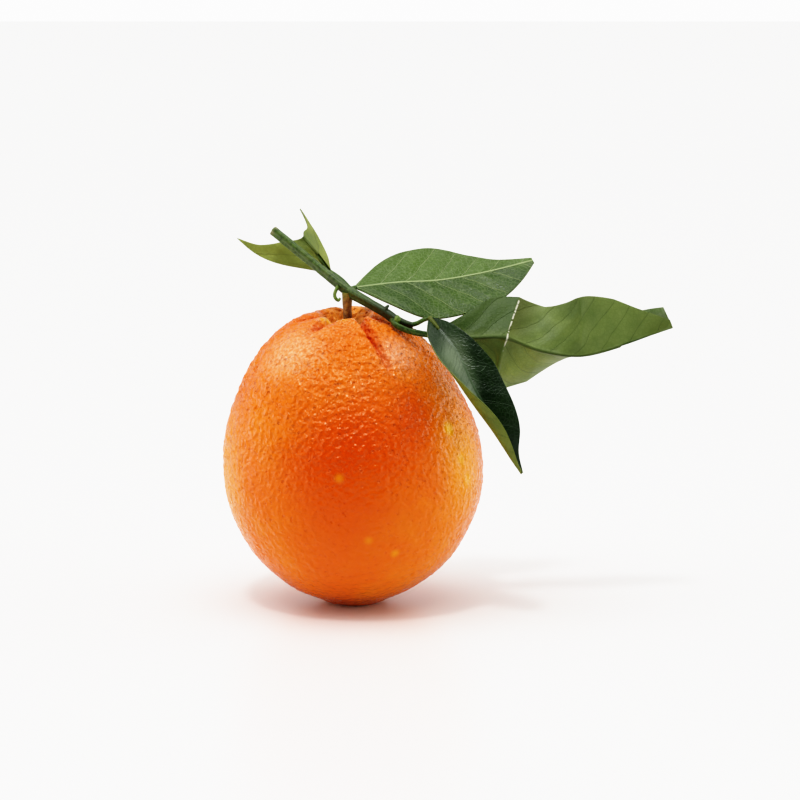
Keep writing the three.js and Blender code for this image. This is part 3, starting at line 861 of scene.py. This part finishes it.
def veinPattern(tree, look, onBlade, flat):
    # how much each point is vein, how far it is from a side vein, and its place along the side veins
    lateral = addNode(tree, "ShaderNodeMath", links={0: flat.outputs["X"]}, operation="ABSOLUTE").outputs[0]
    slanted = addNode(tree, "ShaderNodeMath", {1: look["slant"]}, {0: lateral},
                      operation="MULTIPLY").outputs[0]
    start = addNode(tree, "ShaderNodeMath", links={0: flat.outputs["Y"], 1: slanted},
                    operation="SUBTRACT").outputs[0]
    wobble = addNode(tree, "ShaderNodeTexNoise", {
        "Scale": 1 / (bladePattern["bendSize"] * mm), "Detail": 2}, {"Vector": onBlade})
    bend = bladePattern["bend"] * mm
    shift = addNode(tree, "ShaderNodeMapRange", {"To Min": -bend, "To Max": bend},
                    {"Value": wobble.outputs["Fac"]})
    start = addNode(tree, "ShaderNodeMath", links={0: start, 1: shift.outputs["Result"]},
                    operation="ADD").outputs[0]
    fromVein = addNode(tree, "ShaderNodeMath", {1: look["spacing"] / 2 * mm}, {0: start},
                       operation="PINGPONG").outputs[0]
    sideVein = addNode(tree, "ShaderNodeMapRange", {
        "From Min": 0.0, "From Max": look["veinWidth"] * mm, "To Min": 0.75, "To Max": 0},
        {"Value": fromVein}, interpolation_type="SMOOTHSTEP").outputs["Result"]
    fullHalf, fadedHalf = bladePattern["midribHalf"]
    midrib = addNode(tree, "ShaderNodeMapRange", {
        "From Min": fullHalf * mm, "From Max": fadedHalf * mm, "To Min": 1, "To Max": 0},
        {"Value": lateral}, interpolation_type="SMOOTHSTEP").outputs["Result"]
    broad = addNode(tree, "ShaderNodeMath", links={0: sideVein, 1: midrib}, operation="MAXIMUM").outputs[0]
    net = addNode(tree, "ShaderNodeTexVoronoi", {"Scale": 1 / (bladePattern["netSize"] * mm)},
                  {"Vector": onBlade}, feature="DISTANCE_TO_EDGE")
    fine = addNode(tree, "ShaderNodeMapRange", {
        "From Min": 0.0, "From Max": 0.15, "To Min": bladePattern["netStrength"], "To Max": 0},
        {"Value": net.outputs["Distance"]}).outputs["Result"]
    lines = addNode(tree, "ShaderNodeMath", links={0: broad, 1: fine}, operation="MAXIMUM").outputs[0]
    return lines, fromVein, start


def foldShadeAndCrack(tree, colour, crack, onBlade, flat, bladeLength):
    # an old fold: painted shade darker before it, a brownish strip after it that is partly browning and
    # partly painted shade, with a broken white line along it
    share, slope = crack
    across = addNode(tree, "ShaderNodeMath", {1: slope}, {0: flat.outputs["X"]},
                     operation="MULTIPLY").outputs[0]
    past = addNode(tree, "ShaderNodeMath", links={0: flat.outputs["Y"], 1: across},
                   operation="SUBTRACT").outputs[0]
    past = addNode(tree, "ShaderNodeMath", {1: share * bladeLength * mm}, {0: past},
                   operation="SUBTRACT").outputs[0]
    before = addNode(tree, "ShaderNodeMapRange", {
        "From Min": 0.0004, "From Max": -0.0004, "To Max": 0.7}, {"Value": past}).outputs["Result"]
    upperHalf = addNode(tree, "ShaderNodeMapRange", {
        "From Min": 0.0, "From Max": 0.003, "To Min": 0.35}, {"Value": flat.outputs["X"]}).outputs["Result"]
    before = addNode(tree, "ShaderNodeMath", links={0: before, 1: upperHalf},
                     operation="MULTIPLY").outputs[0]
    colour = tinted(tree, colour, "36501f", before)
    after = addNode(tree, "ShaderNodeMapRange", {
        "From Min": 0.008, "From Max": 0.0, "To Max": 0.5}, {"Value": past}).outputs["Result"]
    strip = addNode(tree, "ShaderNodeMath", links={0: after, 1: upperHalf}, operation="MULTIPLY").outputs[0]
    beyond = addNode(tree, "ShaderNodeMath", {1: 0.0}, {0: past}, operation="GREATER_THAN").outputs[0]
    strip = addNode(tree, "ShaderNodeMath", links={0: strip, 1: beyond}, operation="MULTIPLY").outputs[0]
    colour = tinted(tree, colour, "54501c", strip)
    nearness = addNode(tree, "ShaderNodeMath", links={0: past}, operation="ABSOLUTE").outputs[0]
    line = addNode(tree, "ShaderNodeMapRange", {
        "From Min": 0.00007, "From Max": 0.0002, "To Min": 1, "To Max": 0},
        {"Value": nearness}).outputs["Result"]
    dashes = addNode(tree, "ShaderNodeTexNoise", {"Scale": 1 / 0.0011, "Detail": 1}, {"Vector": onBlade})
    shownDash = addNode(tree, "ShaderNodeMapRange", {"From Min": 0.42, "From Max": 0.5},
                        {"Value": dashes.outputs["Fac"]}).outputs["Result"]
    line = addNode(tree, "ShaderNodeMath", links={0: line, 1: shownDash}, operation="MULTIPLY").outputs[0]
    lowerEnd = addNode(tree, "ShaderNodeMapRange", {"From Min": -0.004, "From Max": -0.001},
                       {"Value": flat.outputs["X"]}).outputs["Result"]
    line = addNode(tree, "ShaderNodeMath", links={0: line, 1: lowerEnd}, operation="MULTIPLY").outputs[0]
    return tinted(tree, colour, "e4e2cc", line)


def leafMaterial(name, bladeLength=None):
    # a citrus leaf: leathery, with side veins that slant towards the tip and a fine net between them
    look = leafLooks[name]
    material, tree = newMaterial(name)
    place = addNode(tree, "ShaderNodeTexCoord")
    onBlade, inSpace = place.outputs["UV"], place.outputs["Object"]
    flat = addNode(tree, "ShaderNodeSeparateXYZ", links={"Vector": onBlade})
    lines, fromVein, start = veinPattern(tree, look, onBlade, flat)
    patches = addNode(tree, "ShaderNodeTexNoise", {
        "Scale": 1 / (bladePattern["patchSize"] * mm), "Detail": 5, "Roughness": 0.6}, {"Vector": inSpace})
    colour = addNode(tree, "ShaderNodeValToRGB", links={"Fac": patches.outputs["Fac"]},
                     ramp=look["ramp"]).outputs["Color"]
    # painted sheen: the blade's left half, which faces up to the light, paler
    if "sheenLeftHalf" in look:
        tint, strength = look["sheenLeftHalf"]
        left = addNode(tree, "ShaderNodeMapRange", {
            "From Min": 0.001, "From Max": -0.001, "To Max": strength}, {"Value": flat.outputs["X"]})
        colour = tinted(tree, colour, tint, left.outputs["Result"])
    # streaks across the blade beside the side veins, about 0.7 mm wide and 6 mm long
    sideways = addNode(tree, "ShaderNodeCombineXYZ", links={"X": flat.outputs["X"], "Y": start})
    stretched = addNode(tree, "ShaderNodeMapping", {"Scale": (160, 1400, 1)},
                        {"Vector": sideways.outputs["Vector"]})
    streaks = addNode(tree, "ShaderNodeTexNoise", {"Scale": 1.0, "Detail": 3},
                      {"Vector": stretched.outputs["Vector"]})
    streak = addNode(tree, "ShaderNodeMapRange", {
        "From Min": 0.35, "From Max": 0.65, "To Min": 0.6, "To Max": 1.0},
        {"Value": streaks.outputs["Fac"]}).outputs["Result"]
    # soft areas, streaked: the leaf's own patches, and on the dark leaf painted reflections
    for centre, reach, tint, strength in look["areas"]:
        ball = softBall(tree, inSpace, centre, reach, strength)
        amount = addNode(tree, "ShaderNodeMath", links={0: ball, 1: streak}, operation="MULTIPLY").outputs[0]
        colour = tinted(tree, colour, tint, amount)
    if "leafGlints" in look:
        # painted glints: pale specks of light on the wax, about 0.5 mm across
        centre, reach, tint, strength = look["leafGlints"]
        dots = addNode(tree, "ShaderNodeTexNoise", {
            "Scale": 1 / (bladePattern["leafGlintSize"] * mm), "Detail": 2}, {"Vector": onBlade})
        glint = addNode(tree, "ShaderNodeMapRange", {"From Min": 0.55, "From Max": 0.68},
                        {"Value": dots.outputs["Fac"]}).outputs["Result"]
        glintArea = softBall(tree, inSpace, centre, reach, strength)
        amount = addNode(tree, "ShaderNodeMath", links={0: glint, 1: glintArea}, operation="MULTIPLY").outputs[0]
        colour = tinted(tree, colour, tint, amount)
    shown = addNode(tree, "ShaderNodeMath", {1: look["veinStrength"]}, {0: lines},
                    operation="MULTIPLY").outputs[0]
    colour = tinted(tree, colour, look["vein"], shown)
    if "crack" in look:
        colour = foldShadeAndCrack(tree, colour, look["crack"], onBlade, flat, bladeLength)
    # the blade is quilted: it swells between the side veins and sinks at them
    swell = addNode(tree, "ShaderNodeMapRange", {
        "From Max": look["spacing"] / 2 * mm, "To Max": look["quilt"]},
        {"Value": fromVein}, interpolation_type="SMOOTHSTEP")
    mottle = addNode(tree, "ShaderNodeMath", {1: 0.5}, {0: patches.outputs["Fac"]},
                     operation="MULTIPLY").outputs[0]
    heights = addNode(tree, "ShaderNodeMath", links={0: lines, 1: mottle}, operation="ADD").outputs[0]
    heights = addNode(tree, "ShaderNodeMath", links={0: heights, 1: swell.outputs["Result"]},
                      operation="ADD").outputs[0]
    bump = addNode(tree, "ShaderNodeBump", {"Strength": 0.8, "Distance": look["relief"] * mm},
                   {"Height": heights})
    gloss = addNode(tree, "ShaderNodeMapRange", {
        "To Min": look["roughness"] + 0.08, "To Max": look["roughness"] - 0.08},
        {"Value": streaks.outputs["Fac"]})
    shader = addNode(tree, "ShaderNodeBsdfPrincipled", {
        "IOR": 1.45, "Coat Weight": look["coat"], "Coat Roughness": 0.22,
    }, {"Base Color": colour, "Roughness": gloss.outputs["Result"], "Normal": bump.outputs["Normal"]})
    through = addNode(tree, "ShaderNodeBsdfTranslucent", links={
        "Color": colour, "Normal": bump.outputs["Normal"]})
    both = addNode(tree, "ShaderNodeMixShader", {0: look["through"]}, {
        1: shader.outputs["BSDF"], 2: through.outputs["BSDF"]})
    addNode(tree, "ShaderNodeOutputMaterial", links={"Surface": both.outputs["Shader"]})
    return material


leafEdge = leafMaterial("paleLeafEdge")
foldedUnder = leafMaterial("matteLeafUnderside", bladeLength=72.3)
tornUnder = leafMaterial("tornLeafUnderside")
hangingUnder = leafMaterial("hangingLeafUnderside")
upperGreen = leafMaterial("waxedLeafUpper")
upperDark = leafMaterial("waxedLeafDark")
foldedUpper = leafMaterial("waxedLeafFolded")

makeLeaf("top", "topLeafBlade", "top_leaf_blade", [upperGreen, tornUnder, leafEdge])
makeLeaf("front", "frontLeafBlade", "front_leaf_blade", [upperDark, hangingUnder, leafEdge])
makeLeaf("folded", "foldedLeafBlade", "folded_leaf_blade",
         [foldedUpper, foldedUnder, leafEdge])
makeLeaf("torn", "tornLeafBlade", "torn_leaf_blade", [foldedUpper, tornUnder, leafEdge])
print("leaves done")
